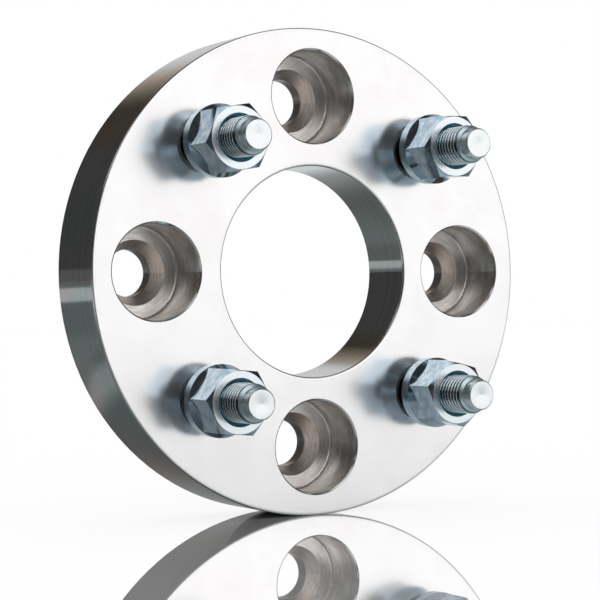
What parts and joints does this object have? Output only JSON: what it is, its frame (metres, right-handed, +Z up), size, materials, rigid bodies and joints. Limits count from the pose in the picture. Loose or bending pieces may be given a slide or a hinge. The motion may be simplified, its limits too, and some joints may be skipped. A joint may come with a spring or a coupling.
{
  "type": "wheel spacer",
  "caption": "Round aluminium wheel spacer: centre bore, pocketed conical-seat hub holes, and pressed-in studs carrying collared lug nuts.",
  "frame": {"origin": "centre of the bore in the hub face", "axes": "+Y along the bore axis towards the hub, so the studs and nuts face -Y; +Z up, with one hub bolt hole straight above the bore; +X to the right as seen from the wheel side"},
  "size_m": [0.15, 0.0587, 0.15],
  "materials": {
    "turned_aluminium": "satin",
    "zinc_plated_stud": "satin",
    "zinc_plated_nut": "satin"
  },
  "bodies": {
    "root": {"spacer_disc": "turned_aluminium", "stud_upper_left": "zinc_plated_stud", "lug_nut_upper_left": "zinc_plated_nut", "stud_upper_right": "zinc_plated_stud", "lug_nut_upper_right": "zinc_plated_nut", "stud_lower_left": "zinc_plated_stud", "lug_nut_lower_left": "zinc_plated_nut", "stud_lower_right": "zinc_plated_stud", "lug_nut_lower_right": "zinc_plated_nut"}
  },
  "joints": []
}
